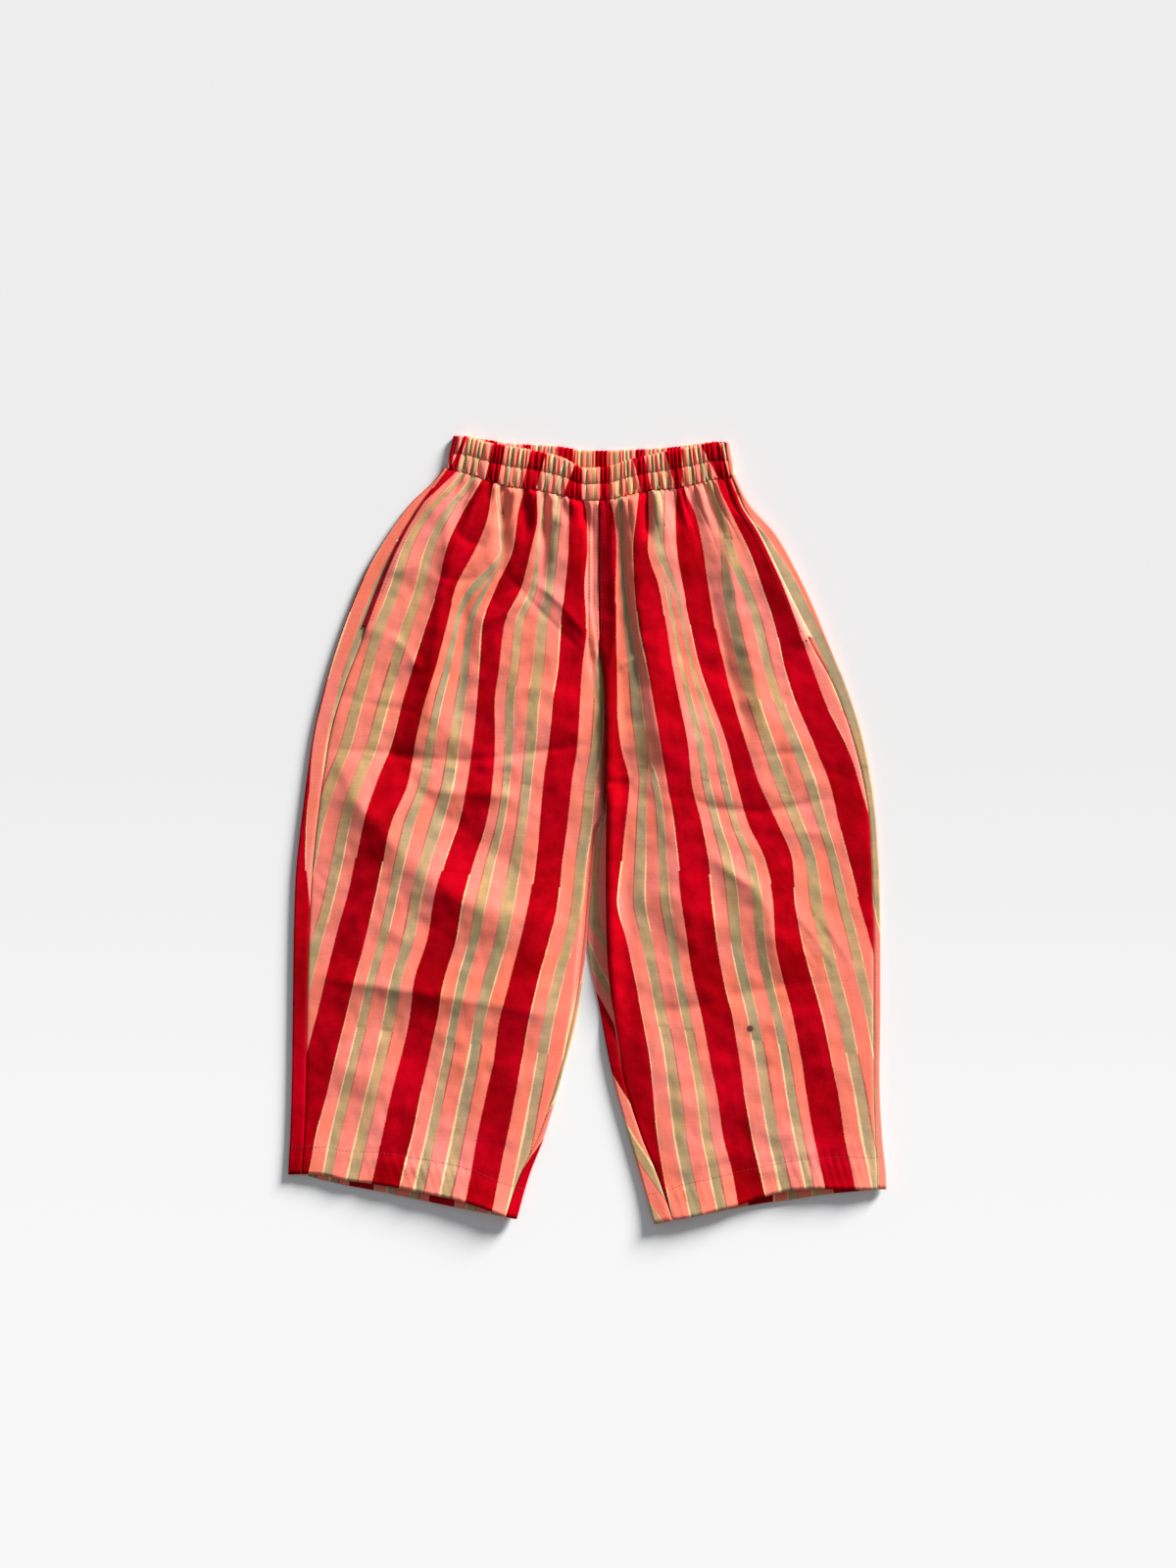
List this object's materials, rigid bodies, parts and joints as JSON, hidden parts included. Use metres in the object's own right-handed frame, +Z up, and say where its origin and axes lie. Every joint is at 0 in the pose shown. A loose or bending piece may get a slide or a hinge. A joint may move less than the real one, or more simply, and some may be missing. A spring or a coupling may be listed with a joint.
{
  "type": "wide-leg trousers",
  "caption": "Cropped wide-leg trousers in striped block-printed cotton with a gathered elastic waist, side-seam pockets and a mock fly, laid flat face up.",
  "frame": {"origin": "under the middle of the whole, on the surface that the trousers lie on", "axes": "+Y from the hems to the waist, +X towards the wearer's left leg, +Z up through the layers"},
  "size_m": [0.6703, 0.8826, 0.0109],
  "materials": {
    "striped_cotton": "plain-weave cotton, hand block-printed in crimson, coral and olive stripes on cream, matt",
    "gathered_casing": "the same striped cotton, gathered over two rows of elastic",
    "pocket_facing": "the same cotton, a pale stripe"
  },
  "bodies": {
    "root": {"right_front_leg": "striped_cotton", "left_front_leg": "striped_cotton", "right_back_leg": "striped_cotton", "left_back_leg": "striped_cotton", "front_waistband": "gathered_casing", "back_waistband": "gathered_casing", "right_pocket_facing": "pocket_facing", "left_pocket_facing": "pocket_facing"}
  },
  "joints": []
}
